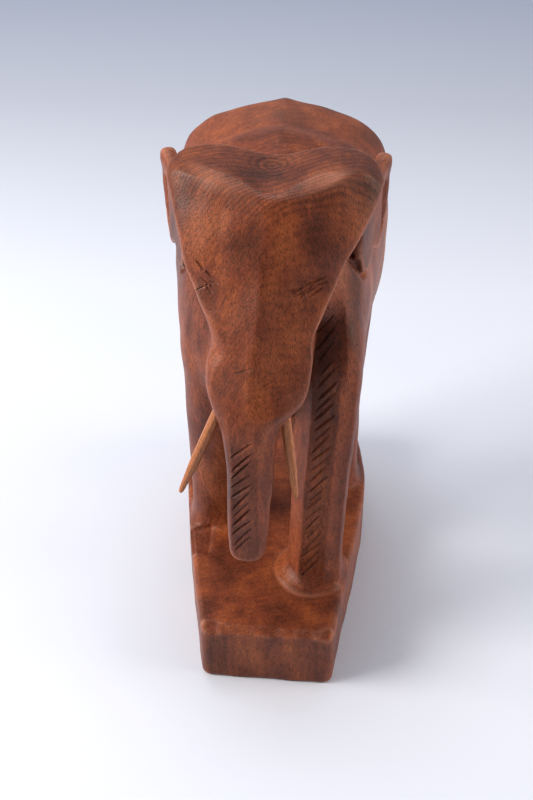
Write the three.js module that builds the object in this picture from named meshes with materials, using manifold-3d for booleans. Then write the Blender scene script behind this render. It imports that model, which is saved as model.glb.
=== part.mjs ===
// A walking elephant carved with its block base from one piece of hardwood, and its two pale tusks.
// Millimetres, +Z up, the elephant faces -Y, and the origin is under the middle of the base.
// A distance "back" is measured from the front edge of the base, and X is the viewer's right.
import * as THREE from "three";
import { mergeVertices } from "three/addons/utils/BufferGeometryUtils.js";
import Module from "manifold-3d";

const wasm = await Module();
wasm.setup();

// Overall sizes of the carving.
const BASE_LENGTH = 104;
const BASE_HEIGHT = 20;
const BASE_EDGE = { top: 0.9, under: 0.35 };
const BASE_SLANT = 1.2;
const BASE_CORNER = { length: 2.2, share: 0.91 };
const BELLY_HEIGHT = 70;
const CROWN_HEIGHT = 142;
const TRUNK_TIP_HEIGHT = 45.2;

// Knife cuts that run down the trunk and down the forward leg.
const CUT = { width: 1.1, depth: 0.75, rise: Math.PI / 4 };
const TRUNK_CUTS = { count: 11, lowest: 50.5, highest: 82, length: 8.2, across: -1.9 };
const LEG_CUTS = { count: 19, lowest: 27, highest: 88, length: 9 };

// The tusks are round slivers, each pushed into a hole with a little play.
const TUSK = { rootRadius: 1.35, tipRadius: 0.7, peg: 5, play: 0.3, sides: 14 };
const TUSK_ROOTS = {
  right_tusk: { root: [-12.2, 9.4, 87.5], tip: [-21.6, 4.6, 65.4] },
  left_tusk: { root: [4.6, 9.4, 87], tip: [7.7, 4.8, 64.9] },
};

// The base's plan: the distance back, and the reach from the middle to +X and to -X.
const BASE_PLAN = [
  [0, 18.7, 17.4],
  [20, 21.8, 21.2],
  [42, 25.5, 25],
  [64, 27.9, 27.4],
  [86, 25.6, 25.4],
  [BASE_LENGTH, 20.5, 20.5],
];

// The body from chest to rump: back, top, height of the widest line, underside, half width, squareness.
const BODY = [
  [21.5, 108, 96, 84, 8, 2],
  [24, 117, 96, 77, 15, 2.1],
  [29, 127, 96, 72, 20.5, 2.2],
  [36, 133.5, 97, BELLY_HEIGHT, 24, 2.3],
  [48, 136, 99, BELLY_HEIGHT, 25.8, 2.5],
  [62, 138, 103, BELLY_HEIGHT + 1, 27.8, 2.8],
  [74, 135.6, 107, BELLY_HEIGHT + 1, 28.6, 3.3],
  [84, 137, 109, BELLY_HEIGHT + 3, 28.6, 3.6],
  [91, 132.5, 109, 79, 26.5, 3],
  [96, 124, 108, 87, 20.5, 2.5],
  [99, 114, 106, 94, 11, 2.2],
];
const BACK_SLOPE = 0.17;

// The head and trunk as level slices: height, front, back, half width, middle, roundness of the face.
const HEAD = [
  [TRUNK_TIP_HEIGHT, 1.6, 8.2, 4.3, -4.8, 2.4],
  [47.5, 0.9, 9, 4.9, -4.7, 2.6],
  [60, 0.8, 10, 5.5, -4.3, 2.7],
  [72, 1.2, 11, 5.9, -3.9, 2.6],
  [80, 1.8, 13, 6.5, -4, 2.4],
  [85, 2.3, 17, 7.8, -4, 2.2],
  [88, 2.9, 21, 9.7, -3.3, 2.1],
  [91, 3.8, 25, 11.6, -2.5, 2],
  [95, 5.2, 30, 12.7, -2.3, 1.9],
  [99, 7, 33, 12.9, -2, 1.85],
  [104, 9.2, 36, 12.2, -1.3, 1.75],
  [112, 12.6, 41, 15, -1.4, 1.65],
  [120, 16.4, 44, 18.6, -1.5, 1.6],
  [128, 20.2, 45.5, 22.4, -0.4, 1.55],
  [134, 22.8, 46, 25, 0.5, 1.5],
  [138, 25.2, 46, 25.6, 0.5, 1.5],
  [CROWN_HEIGHT - 1, 27.4, 45.4, 25.4, 0.5, 1.5],
  [CROWN_HEIGHT + 1.5, 30, 44, 24, 0.5, 1.6],
];
const WIDEST_SHARE = 0.42;
const FACE_DEPTH = 7.5;
const NAPE_POWER = 3;

// The top of the head: two low domes with a dip between them that falls towards the brow.
const CROWN = { across: 14, back: 41, dip: 2.8, dipWidth: 8, fall: 0.004, sideFall: 0.011 };
const CROWN_SLAB = { width: 60, depth: 30, middle: 36, top: CROWN_HEIGHT + 6 };

// The four legs as level slices: height, middle across, middle back, half width, half length.
const FOOT_HEIGHT = BASE_HEIGHT - 1;
const LEGS = {
  frontLeft: [
    [FOOT_HEIGHT, 12.5, 23.6, 9.7, 9.2],
    [BASE_HEIGHT + 0.7, 12.6, 23.4, 8.7, 8.1],
    [BASE_HEIGHT + 5, 12.9, 23.8, 7.9, 7.2],
    [36, 13.3, 24.6, 7.5, 7],
    [56, 13.9, 26.4, 7.8, 7.6],
    [78, 14.7, 30, 8.7, 9.8],
    [92, 14.6, 34, 9.5, 12],
    [108, 13, 40, 9, 12],
    [116, 10, 43, 7, 9],
  ],
  frontRight: [
    [FOOT_HEIGHT, -16.3, 47, 9.2, 8.8],
    [BASE_HEIGHT + 0.7, -16.3, 47, 8.4, 8],
    [BASE_HEIGHT + 5, -16.3, 46.6, 7.8, 7.3],
    [40, -16.3, 45.2, 7.6, 7],
    [60, -16.1, 42.4, 7.9, 8],
    [78, -15.2, 40, 8.5, 10],
    [92, -14.6, 39, 9.5, 11.5],
    [108, -13, 40, 9, 12],
    [116, -10, 43, 7, 9],
  ],
  hindLeft: [
    [FOOT_HEIGHT, 18, 65, 8.6, 9],
    [BASE_HEIGHT + 0.7, 18, 65, 7.8, 8.2],
    [BASE_HEIGHT + 6, 17.9, 65.6, 7.2, 7.6],
    [44, 17.8, 67.8, 7.2, 7.8],
    [64, 17.4, 71.4, 8.6, 10],
    [84, 17, 75, 10.4, 13],
    [98, 14.5, 77, 11, 12],
    [108, 11, 78, 8, 8],
  ],
  hindRight: [
    [FOOT_HEIGHT, -14.8, 87.5, 8.4, 9],
    [BASE_HEIGHT + 0.7, -14.8, 87.4, 7.6, 8.2],
    [BASE_HEIGHT + 6, -15, 87, 7.1, 7.6],
    [44, -15.8, 85.6, 7.2, 7.8],
    [64, -16.4, 83, 8.8, 9.6],
    [84, -16.4, 80, 10.6, 12.5],
    [98, -14.5, 78, 11, 11.5],
    [108, -11, 77, 8, 8],
  ],
};
const LEG_POWER = 2.7;

// The tail lies against the rump: height, back, half width.
const TAIL = [
  [76, 93.4, 1.4],
  [80, 95, 2.5],
  [86, 97.2, 1.8],
  [96, 99.4, 1.9],
  [108, 100.2, 2.5],
  [120, 98, 3],
];
const TAIL_DEPTH = 3.6;

// The ears are plates that leave the sides of the head and stand off the neck.
const EAR = {
  frontAcross: 20.6,
  frontBack: 33.5,
  rearAcross: 27.6,
  rearBack: 51.5,
  foot: 110.8,
  height: 27.4,
  thickness: 2.2,
  edge: 0.45,
};

// The shallow notch in the base in front of the rearward forefoot.
const NOTCH = { left: -30, right: -17.8, front: 28.5, back: 38.6, depth: 0.9 };

const placeBack = (back) => back - BASE_LENGTH / 2;
const signedPower = (value, power) => Math.sign(value) * Math.abs(value) ** power;

// The slope of one column at a row: the harmonic mean of its neighbours, and level at a peak.
function slopeAt(rows, i, column) {
  const rise = (j) => (rows[j + 1][column] - rows[j][column]) / (rows[j + 1][0] - rows[j][0]);
  if (i === 0) return rise(0);
  if (i === rows.length - 1) return rise(i - 1);
  const before = rise(i - 1);
  const after = rise(i);
  return before * after <= 0 ? 0 : (2 * before * after) / (before + after);
}

// Every column of a table at one position, on a smooth curve that doesn't overshoot the rows.
function along(rows, position) {
  const next = rows.findIndex((row) => position < row[0]);
  const i = next < 0 ? rows.length - 2 : Math.max(next - 1, 0);
  const span = rows[i + 1][0] - rows[i][0];
  const t = Math.min(Math.max((position - rows[i][0]) / span, 0), 1);
  return rows[i].map((value, column) => {
    if (column === 0) return position;
    const rise = rows[i + 1][column] - value;
    const start = slopeAt(rows, i, column) * span;
    const end = slopeAt(rows, i + 1, column) * span;
    return value + t * (start + t * (3 * rise - 2 * start - end + t * (start + end - 2 * rise)));
  });
}

// Positions for slices: each gap between rows is divided so that no slice is thicker than `most`.
function slicesOf(rows, most) {
  const places = [rows[0][0]];
  rows.slice(1).forEach((row, i) => {
    const count = Math.ceil((row[0] - rows[i][0]) / most);
    for (let k = 1; k <= count; k++) places.push(rows[i][0] + ((row[0] - rows[i][0]) * k) / count);
  });
  return places;
}

// A ring of points: place(cosine, sine) gives the point at each angle.
function ring(sides, place) {
  return Array.from({ length: sides }, (_, i) => {
    const angle = (2 * Math.PI * i) / sides;
    return place(Math.cos(angle), Math.sin(angle));
  });
}

// A closed skin over rings that all have the same number of points, with a flat fan at each end.
function loft(rings) {
  const sides = rings[0].length;
  const middle = (points) => [0, 1, 2].map((k) => points.reduce((sum, p) => sum + p[k], 0) / sides);
  const points = [...rings.flat(), middle(rings[0]), middle(rings.at(-1))];
  const firstHub = rings.length * sides;
  const faces = [];
  for (let i = 0; i < sides; i++) {
    const j = (i + 1) % sides;
    const top = (rings.length - 1) * sides;
    for (let k = 0; k < rings.length - 1; k++) {
      const low = k * sides;
      const high = low + sides;
      faces.push(low + i, low + j, high + j, low + i, high + j, high + i);
    }
    faces.push(firstHub, j, i, firstHub + 1, top + i, top + j);
  }
  const geometry = new THREE.BufferGeometry();
  geometry.setAttribute("position", new THREE.Float32BufferAttribute(points.flat(), 3));
  geometry.setIndex(faces);
  return geometry;
}

// A closed geometry as a solid, with its faces turned outwards.
function solid(geometry) {
  const bare = geometry.clone();
  bare.deleteAttribute("normal");
  bare.deleteAttribute("uv");
  const merged = mergeVertices(bare, 1e-4);
  const make = (triVerts) =>
    new wasm.Manifold(
      new wasm.Mesh({ numProp: 3, vertProperties: merged.attributes.position.array, triVerts }),
    );
  const faces = new Uint32Array(merged.index.array);
  const made = make(faces);
  return made.volume() > 0 ? made : make(faces.reverse());
}

const joined = (pieces) => pieces.reduce((whole, piece) => whole.add(piece));

// The block base: level slices of one plan, drawn in at the arrises, with its front cut a little askew.
function baseBlock() {
  const plan = (inset, height) => {
    const length = BASE_LENGTH - 2 * inset;
    const side = (back, hand) => along(BASE_PLAN, back)[hand > 0 ? 1 : 2] - inset;
    const steps = 14;
    const outline = [];
    for (const hand of [1, -1]) {
      for (let k = 0; k <= steps; k++) {
        const share = hand > 0 ? k / steps : 1 - k / steps;
        const back = inset + BASE_CORNER.length + share * (length - 2 * BASE_CORNER.length);
        const skew = hand < 0 ? BASE_SLANT * (1 - share) : 0;
        outline.push([hand * side(back, hand), placeBack(back + skew), height]);
      }
      const end = hand > 0 ? BASE_LENGTH - inset : inset;
      for (const share of [hand * BASE_CORNER.share, -hand * BASE_CORNER.share]) {
        const skew = hand < 0 && share < 0 ? BASE_SLANT : 0;
        outline.push([share * side(end, share), placeBack(end + skew), height]);
      }
    }
    return outline;
  };
  const slices = [
    [BASE_EDGE.under, 0],
    [0, BASE_EDGE.under],
    [0, BASE_HEIGHT - BASE_EDGE.top],
    [BASE_EDGE.top, BASE_HEIGHT],
  ];
  return solid(loft(slices.map(([inset, height]) => plan(inset, height))));
}

// The body: upright slices, sloping like a low roof from a blunt ridge along the spine.
function body() {
  const slice = (place) => {
    const [back, top, widest, bottom, half, squareness] = along(BODY, place);
    return ring(34, (c, s) => {
      const across = signedPower(c, 2 / squareness);
      const up = signedPower(s, 2 / squareness);
      const fall = s > 0 ? BACK_SLOPE * half * Math.abs(across) * Math.sqrt(up) : 0;
      const height = widest + up * (s > 0 ? top - widest : widest - bottom) - fall;
      return [half * across, placeBack(back), height];
    });
  };
  return solid(loft(slicesOf(BODY, 5.5).map(slice)));
}

// The head and trunk: level slices, with a wedge-shaped face in front and a squarer nape behind.
function headAndTrunk() {
  const slice = (place) => {
    const [height, front, rear, half, middle, roundness] = along(HEAD, place);
    const widest = front + Math.min(WIDEST_SHARE * (rear - front), FACE_DEPTH);
    return ring(32, (c, s) => {
      const power = s < 0 ? roundness : NAPE_POWER;
      const across = signedPower(c, 2 / power);
      const depth = signedPower(s, 2 / power);
      const back = widest + depth * (s < 0 ? widest - front : rear - widest);
      return [middle + half * across, placeBack(back), height];
    });
  };
  return solid(loft(slicesOf(HEAD, 4.5).map(slice)));
}

// What is cut away above the crown: a slab whose underside is the two domes and the dip.
function aboveCrown() {
  const crownAt = (x, back) =>
    CROWN_HEIGHT -
    CROWN.dip * Math.exp(-((x / CROWN.dipWidth) ** 2)) -
    CROWN.fall * (back - CROWN.back) ** 2 -
    CROWN.sideFall * Math.max(0, Math.abs(x) - CROWN.across) ** 2;
  const { width, depth, middle, top } = CROWN_SLAB;
  const slab = new THREE.BoxGeometry(width, depth, 1, 24, 8, 1).translate(0, middle, 0);
  const points = slab.attributes.position;
  for (let i = 0; i < points.count; i++) {
    const [x, back] = [points.getX(i), points.getY(i)];
    points.setXYZ(i, x, placeBack(back), points.getZ(i) < 0 ? crownAt(x, back) : top);
  }
  return solid(slab);
}

// One leg: level slices of a rounded square that flares into the base at the foot.
function leg(rows) {
  const slice = (place) => {
    const [height, middle, back, halfWidth, halfLength] = along(rows, place);
    return ring(20, (c, s) => [
      middle + halfWidth * signedPower(c, 2 / LEG_POWER),
      placeBack(back) + halfLength * signedPower(s, 2 / LEG_POWER),
      height,
    ]);
  };
  return solid(loft(slicesOf(rows, 7).map(slice)));
}

// The tail: a low rounded strip down the middle of the rump, with a tuft at its end.
function tail() {
  const slice = (place) => {
    const [height, back, half] = along(TAIL, place);
    return ring(10, (c, s) => [half * c, placeBack(back) + TAIL_DEPTH * (s - 1) * 0.5, height]);
  };
  return solid(loft(slicesOf(TAIL, 6).map(slice)));
}

// One ear: a bevelled plate whose top edge is straight and whose lower edge has two lobes.
function ear(hand) {
  const run = Math.hypot(EAR.rearAcross - EAR.frontAcross, EAR.rearBack - EAR.frontBack);
  const outline = new THREE.Shape();
  outline.moveTo(0, EAR.height * 0.94);
  outline.quadraticCurveTo(run * 0.5, EAR.height * 0.92, run * 0.93, EAR.height);
  outline.quadraticCurveTo(run * 1.08, EAR.height * 0.6, run * 0.9, EAR.height * 0.28);
  outline.quadraticCurveTo(run * 0.8, EAR.height * 0.02, run * 0.58, EAR.height * 0.12);
  outline.quadraticCurveTo(run * 0.36, -EAR.height * 0.06, run * 0.2, EAR.height * 0.04);
  outline.quadraticCurveTo(run * 0.06, EAR.height * 0.16, 0, EAR.height * 0.36);
  outline.closePath();
  const plate = new THREE.ExtrudeGeometry(outline, {
    depth: EAR.thickness - 2 * EAR.edge,
    bevelThickness: EAR.edge,
    bevelSize: EAR.edge,
    bevelSegments: 1,
    curveSegments: 7,
  });
  const turn = Math.atan2(EAR.rearBack - EAR.frontBack, hand * (EAR.rearAcross - EAR.frontAcross));
  plate.translate(0, 0, -EAR.thickness / 2).rotateX(Math.PI / 2).rotateZ(turn);
  return solid(plate.translate(hand * EAR.frontAcross, placeBack(EAR.frontBack), EAR.foot));
}

// One knife cut: a long thin double wedge, turned to rise along the surface and to face `facing`.
function knifeCut(length, at, facing) {
  const cut = new THREE.OctahedronGeometry(1).scale(length / 2, CUT.depth, CUT.width / 2);
  cut.rotateY(-CUT.rise).rotateZ(facing);
  return solid(cut.translate(...at));
}

// The row of cuts on the trunk's front face, and the row on the inner front face of the forward leg.
function knifeCuts() {
  const spread = ({ count, lowest, highest }, i) => lowest + ((highest - lowest) * i) / (count - 1);
  const trunk = Array.from({ length: TRUNK_CUTS.count }, (_, i) => {
    const height = spread(TRUNK_CUTS, i);
    const [, front, , , middle] = along(HEAD, height);
    return knifeCut(TRUNK_CUTS.length, [middle + TRUNK_CUTS.across, placeBack(front), height], 0);
  });
  const foreleg = Array.from({ length: LEG_CUTS.count }, (_, i) => {
    const height = spread(LEG_CUTS, i);
    const [, middle, back, halfWidth, halfLength] = along(LEGS.frontLeft, height);
    const at = [middle - 0.42 * halfWidth, placeBack(back) - 0.93 * halfLength, height];
    return knifeCut(LEG_CUTS.length, at, -0.16);
  });
  return joined([...trunk, ...foreleg]);
}

function notch() {
  const size = [NOTCH.right - NOTCH.left, NOTCH.back - NOTCH.front, 2 * NOTCH.depth];
  const box = new THREE.BoxGeometry(...size);
  const across = (NOTCH.left + NOTCH.right) / 2;
  return solid(box.translate(across, placeBack((NOTCH.front + NOTCH.back) / 2), BASE_HEIGHT));
}

// A tapered round rod from the peg's inner end to the blunt tip, `grown` all round for its hole.
function tusk({ root, tip }, grown) {
  const [start, end] = [root, tip].map(([x, back, z]) => new THREE.Vector3(x, placeBack(back), z));
  const out = end.clone().sub(start).normalize();
  const inner = start.clone().addScaledVector(out, -TUSK.peg - grown);
  const length = end.distanceTo(inner);
  const profile = [
    [0, 0],
    [TUSK.rootRadius + grown, 0],
    [TUSK.rootRadius * 0.96 + grown, length * 0.55],
    [TUSK.tipRadius + grown, length * 0.94],
    [TUSK.tipRadius * 0.7 + grown, length],
    [0, length],
  ];
  const points = profile.map(([radius, height]) => new THREE.Vector2(radius, height));
  const rod = new THREE.LatheGeometry(points, TUSK.sides);
  const turn = new THREE.Quaternion().setFromUnitVectors(new THREE.Vector3(0, 1, 0), out);
  return solid(rod.applyQuaternion(turn).translate(inner.x, inner.y, inner.z));
}

function mesh(name, shape, colour, roughness) {
  const { vertProperties, triVerts } = shape.getMesh();
  const geometry = new THREE.BufferGeometry();
  geometry.setAttribute("position", new THREE.BufferAttribute(new Float32Array(vertProperties), 3));
  geometry.setIndex(new THREE.BufferAttribute(new Uint32Array(triVerts), 1));
  geometry.computeVertexNormals();
  const material = new THREE.MeshStandardMaterial({ color: colour, roughness, metalness: 0 });
  const made = new THREE.Mesh(geometry, material);
  made.name = name;
  return made;
}

const carving = joined([
  baseBlock(),
  body(),
  headAndTrunk().subtract(aboveCrown()),
  ...Object.values(LEGS).map(leg),
  ear(1),
  ear(-1),
  tail(),
]);
const holes = joined(Object.values(TUSK_ROOTS).map((ends) => tusk(ends, TUSK.play)));

const elephant = new THREE.Group();
const carved = carving.subtract(knifeCuts()).subtract(notch()).subtract(holes);
elephant.add(mesh("carved_elephant", carved, 0x75432f, 0.55));
for (const [name, ends] of Object.entries(TUSK_ROOTS)) {
  elephant.add(mesh(name, tusk(ends, 0), 0xaa714e, 0.6));
}

export default elephant;
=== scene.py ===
"""A small elephant on a block base, carved from one piece of reddish hardwood, with two loose pale tusks."""

import math

import bpy
import numpy as np
from bpy.props import FloatProperty, FloatVectorProperty, IntProperty, PointerProperty
from bpy.types import Operator, Panel, PropertyGroup
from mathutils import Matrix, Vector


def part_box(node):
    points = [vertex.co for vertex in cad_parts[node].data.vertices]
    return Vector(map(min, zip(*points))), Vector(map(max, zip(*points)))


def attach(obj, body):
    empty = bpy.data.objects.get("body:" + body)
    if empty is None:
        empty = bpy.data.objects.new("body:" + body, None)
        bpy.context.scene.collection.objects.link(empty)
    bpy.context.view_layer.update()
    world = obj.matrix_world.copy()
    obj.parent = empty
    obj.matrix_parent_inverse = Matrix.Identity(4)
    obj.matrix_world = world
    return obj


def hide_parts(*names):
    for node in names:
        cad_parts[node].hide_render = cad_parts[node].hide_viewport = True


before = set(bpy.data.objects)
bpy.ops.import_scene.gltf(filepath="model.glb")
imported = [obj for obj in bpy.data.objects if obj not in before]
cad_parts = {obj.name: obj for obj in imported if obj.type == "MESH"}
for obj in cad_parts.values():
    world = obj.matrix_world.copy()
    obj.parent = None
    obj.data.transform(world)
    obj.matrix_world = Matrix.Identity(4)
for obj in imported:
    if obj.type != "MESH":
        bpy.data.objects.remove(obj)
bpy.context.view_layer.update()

bl_info = {
    "name": "Carved Wooden Elephant",
    "version": (1, 0, 0),
    "blender": (4, 5, 0),
    "location": "View3D > Sidebar > Elephant",
    "description": "Builds a hand-carved wooden elephant figurine, its tusks and a studio",
    "category": "Object",
}

# Every size below is in millimetres. X is across the elephant, and "back" is the distance
# behind the base's front face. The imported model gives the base's real length.
MM = 0.001
TURN = 2 * math.pi
NEAR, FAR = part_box("carved_elephant")
BASE_LENGTH = round((FAR.y - NEAR.y) / MM)
CROWN_HEIGHT = round((FAR.z - NEAR.z) / MM)
BASE_HEIGHT = 20

# back, reach towards +X, reach towards -X
BASE_PLAN = [
    (0, 18.7, 17.4),
    (20, 21.8, 21.2),
    (42, 25.5, 25),
    (64, 27.9, 27.4),
    (86, 25.6, 25.4),
    (104, 20.5, 20.5),
]
BASE_CORNER = 2.2  # radius of the upright corners
BASE_SLANT = 1.2  # how far the front's end on the elephant's right is set back
BASE_ARRIS = 0.9  # how far the top edge is drawn in
BASE_FORWARD = 1.6  # how far the front is moved forward, less and less towards the rear

# The base's level outlines from the underside up: how far each is drawn in, and its height
BASE_LEVELS = [
    (0.6, 0),
    (0.2, 0.2),
    (0, 0.6),
    (0, BASE_HEIGHT - BASE_ARRIS),
    (BASE_ARRIS, BASE_HEIGHT),
]

# The worn top edge of the base's front: its mean depth, and which way the worn strip faces
ARRIS_DEPTH = 1.2
ARRIS_NORMAL = (0, -0.66, 0.75)

# back, top, height of the widest line, bottom, half width, squareness
BODY = [
    (21.5, 108, 96, 84, 8, 2),
    (24, 117, 96, 77, 15, 2.1),
    (29, 127, 96, 72, 20.5, 2.2),
    (36, 133.5, 97, 70, 24, 2.3),
    (48, 136, 99, 70, 25.8, 2.5),
    (62, 138, 103, 71, 27.8, 2.9),
    (74, 135.2, 107, 71, 29, 3.7),
    (84, 136.5, 109, 73, 29, 4.2),
    (91, 132.5, 109, 79, 26.5, 3),
    (96, 124, 108, 87, 20.5, 2.5),
    (99, 114, 106, 94, 11, 2.2),
]
BACK_SLOPE = 0.22  # how steeply the back falls on either side of the spine
BODY_LEAN = 0.8  # how far the rump is moved towards +X, over this run from front to back
BODY_LEAN_RUN = (50, 76)

# height, front, rear, half width, middle, roundness of the face
HEAD = [
    (44.2, 1.6, 8.2, 4.2, -4.8, 2.4),
    (46.5, 0.9, 9, 4.9, -4.7, 2.6),
    (60, 0.8, 10, 5.5, -4.3, 2.7),
    (72, 1.2, 11, 5.9, -3.9, 2.6),
    (80, 1.8, 13, 6.5, -4, 2.4),
    (85, 2.3, 17, 7.8, -4, 2.2),
    (88, 2.9, 21, 9.7, -3.3, 2.1),
    (91, 3.8, 25, 11.6, -2.5, 2),
    (95, 5.2, 30, 12.7, -2.3, 1.9),
    (99, 7, 33, 12.9, -2, 1.85),
    (104, 9.2, 36, 12.2, -1.3, 1.75),
    (112, 12.6, 41, 15, -1.4, 1.65),
    (120, 16.4, 44, 18.6, -1.5, 1.6),
    (128, 20.2, 45.5, 22.2, -0.2, 1.55),
    (134, 22.8, 46, 24.9, 0.4, 1.5),
    (138, 25.2, 46.5, 26.5, 0.5, 1.45),
    (141, 27.2, 46.5, 27, 0.5, 1.45),
    (143.5, 29.5, 46, 26.4, 0.5, 1.45),
]
# The head's widest line lies behind the face by this share of its length, or by a depth that grows by
# BROW_DEPTH over the heights of BROW_RISE, whichever is less.
WIDEST_SHARE = 0.58
FACE_DEPTH = 7.5
BROW_DEPTH = 4.5
BROW_RISE = (124, 139)
NAPE_SQUARENESS = 3
NAPE_BACK = 46

# The crown: its dip, its fall from a line behind the brow, and its fall past two distances from the middle
CROWN_DIP = 2.8
CROWN_DIP_WIDTH = 8
CROWN_FALL = 0.004
CROWN_BACK = 41
CROWN_SIDE_FALL = 0.009
CROWN_ACROSS = 14
CROWN_CORNER_FALL = 0.09
CROWN_CORNER = 20.5

# The knot in the crown's dip: across, back, height
KNOT = (-0.3, 40, 139)

LEG_SQUARENESS = 2.7

# height, middle across, middle back, half width, half length
LEFT_FORELEG = [
    (19, 12.5, 23.6, 9.7, 9.2),
    (20.7, 12.6, 23.4, 8.7, 8.1),
    (25, 12.9, 23.8, 7.9, 7.2),
    (36, 13.3, 24.6, 7.5, 7),
    (56, 13.9, 26.4, 7.8, 7.6),
    (78, 14.7, 30, 8.7, 9.8),
    (92, 14.6, 34, 9.5, 12),
    (108, 13, 40, 9, 12),
    (116, 10, 43, 7, 9),
]
RIGHT_FORELEG = [
    (19, -16.3, 47, 9.2, 8.8),
    (20.7, -16.3, 47, 8.4, 8),
    (25, -16.3, 46.6, 7.8, 7.3),
    (40, -16.3, 45.2, 7.6, 7),
    (60, -16.1, 42.4, 7.9, 8),
    (78, -15.2, 40, 8.5, 10),
    (92, -14.6, 39, 9.5, 11.5),
    (108, -13, 40, 9, 12),
    (116, -10, 43, 7, 9),
]
LEFT_HIND_LEG = [
    (19, 18, 65, 8.6, 9),
    (20.7, 18, 65, 7.8, 8.2),
    (26, 17.9, 65.6, 7.2, 7.6),
    (44, 17.8, 67.8, 7.2, 7.8),
    (64, 17.4, 71.4, 8.6, 10),
    (84, 17, 75, 10.4, 13),
    (98, 14.5, 77, 11, 12),
    (108, 11, 78, 8, 8),
]
RIGHT_HIND_LEG = [
    (19, -14.8, 87.5, 8.4, 9),
    (20.7, -14.8, 87.4, 7.6, 8.2),
    (26, -15, 87, 7.1, 7.6),
    (44, -15.8, 85.6, 7.2, 7.8),
    (64, -16.4, 83, 8.8, 9.6),
    (84, -16.4, 80, 10.6, 12.5),
    (98, -14.5, 78, 11, 11.5),
    (108, -11, 77, 8, 8),
]
LEGS = (LEFT_FORELEG, RIGHT_FORELEG, LEFT_HIND_LEG, RIGHT_HIND_LEG)

# The line scored round the forward foot: middle across and back, half width and half length
FOOT_LINE = (12.6, 23.4, 11.2, 10.4)

# height, back, half width
TAIL = [
    (76, 93.4, 1.4),
    (80, 95, 2.5),
    (86, 97.2, 1.8),
    (96, 99.4, 1.9),
    (108, 100.2, 2.5),
    (120, 98, 3),
]
TAIL_DEPTH = 3.6

# share of the ear's run, lower edge and upper edge as shares of its height, and half thickness
EAR = [
    (0, 0.38, 0.93, 1.1),
    (0.06, 0.2, 0.95, 1.2),
    (0.2, 0.03, 0.94, 1.1),
    (0.36, -0.01, 0.93, 1.05),
    (0.56, 0.13, 0.94, 1),
    (0.76, 0.06, 0.97, 1),
    (0.92, 0.3, 1, 1.1),
    (1, 0.6, 0.98, 1),
]
EAR_FRONT = (20.6, 33.5)  # across and back, where the ear joins the head
EAR_REAR = (27.6, 51.5)
EAR_FOOT = 110.8
EAR_HEIGHT = 27.4
EAR_FOLD = (0.6, 2)  # how much thicker the rim is, outwards and towards the head

# The brow's edge: across, back, height
BROW = [
    (-24, 36.5, 140.6),
    (-21, 35, 141.3),
    (-13, 29.5, 141),
    (-6, 26.7, 139.1),
    (-2, 25.4, 138.1),
    (0.4, 25.1, 137.8),
    (3.3, 26.4, 138.8),
    (6.6, 28.3, 139.9),
    (11.2, 29.8, 141.1),
    (17, 31.3, 141.5),
    (25, 33, 140.4),
]
HEAD_MIDDLE = 0.5
BROW_CORNER = (25.5, 37, 138)

# The ridge down the middle of the face: height, across, back
FACE_RIDGE = [
    (84, -4.6, 2.1),
    (93.5, -4.4, 4.8),
    (104, -3.5, 9.2),
    (114.3, -2.3, 13.6),
    (125, -1.6, 18.8),
    (135.1, -0.9, 23.4),
]

# The ridges where two knife facets meet: across the trunk and behind its front, and as shares of the
# forward foreleg's half width and half length. The leg's front facet is LEG_FACET wide.
TRUNK_RIDGE = (-1.9, 0.55)
LEG_RIDGE = (0.36, -0.91)
LEG_FACET = 7
LEG_TURN = 0.1

# Which way the knife facets face: across, back, up
TRUNK_FACETS = ((-0.12, -1, 0), (0.75, -1, 0))
LEG_FRONT = (-LEG_TURN, -1, 0)
LEG_OUTER = (0.5, -1, 0)
LEG_INNER = (-1, -0.75, 0)
FACE_FACETS = ((-0.36, -0.84, 0.41), (0.36, -0.84, 0.41))
BROW_FACETS = ((-0.22, -0.5, 0.84), (0.24, -0.48, 0.84))

# The two rows of knife cuts: how many, their lowest and highest, how far in from the ridge, and each
# cut's length, slope in radians and share of the full depth
TRUNK_CUTS = {
    "count": 11,
    "lowest": 50.3,
    "highest": 81,
    "inwards": -4,
    "length": 9.2,
    "rise": 0.9,
    "strength": 1,
}
LEG_CUTS = {
    "count": 25,
    "lowest": 26,
    "highest": 106,
    "inwards": -3.6,
    "length": 9,
    "rise": 0.9,
    "strength": 0.65,
}

# Single strokes of the knife: their two ends (across, height), depth and width.
STROKES = [
    ((-17.6, 122.8), (-15, 120.7), 0.45, 0.9),
    ((-15.8, 121.2), (-12.6, 119.4), 0.4, 0.8),
    ((-17.6, 115.6), (-13.6, 118.4), 0.45, 0.9),
    ((-16.8, 119.4), (-12.4, 117.2), 0.35, 0.7),
    ((-15.8, 117.6), (-13, 116.2), 0.35, 0.8),
    ((-14.6, 118.8), (-11.6, 118.6), 0.3, 0.6),
    ((5.2, 117.2), (9, 119), 0.3, 0.9),
    ((7.2, 118.5), (13.4, 119.8), 0.34, 1),
    ((5.4, 116.6), (11.4, 117.8), 0.26, 0.9),
    ((9.2, 115.8), (12.8, 117.6), 0.24, 0.8),
    ((7.4, 116), (10.4, 118.8), 0.2, 0.7),
    ((10.6, 118.2), (14, 118.7), 0.24, 0.7),
    ((4.2, 118), (7.2, 118.2), 0.22, 0.7),
    ((-8, 99.9), (-3, 102.4), 0.22, 0.55),
    ((-1.4, 97.2), (1.4, 98.4), 0.16, 0.5),
]

# root and tip of each tusk: across, back, height
TUSKS = {
    "right_tusk": ((-12.2, 9.4, 87.5), (-21.6, 4.6, 65.4)),
    "left_tusk": ((4.6, 9.4, 87), (7.7, 4.8, 64.9)),
}
TUSK_PEG = 5

# share of the tusk's length from the inner end of its peg, radius
TUSK_TAPER = [
    (0, 1.35),
    (0.55, 1.3),
    (0.94, 0.74),
    (0.985, 0.6),
    (1, 0.35),
]

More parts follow.
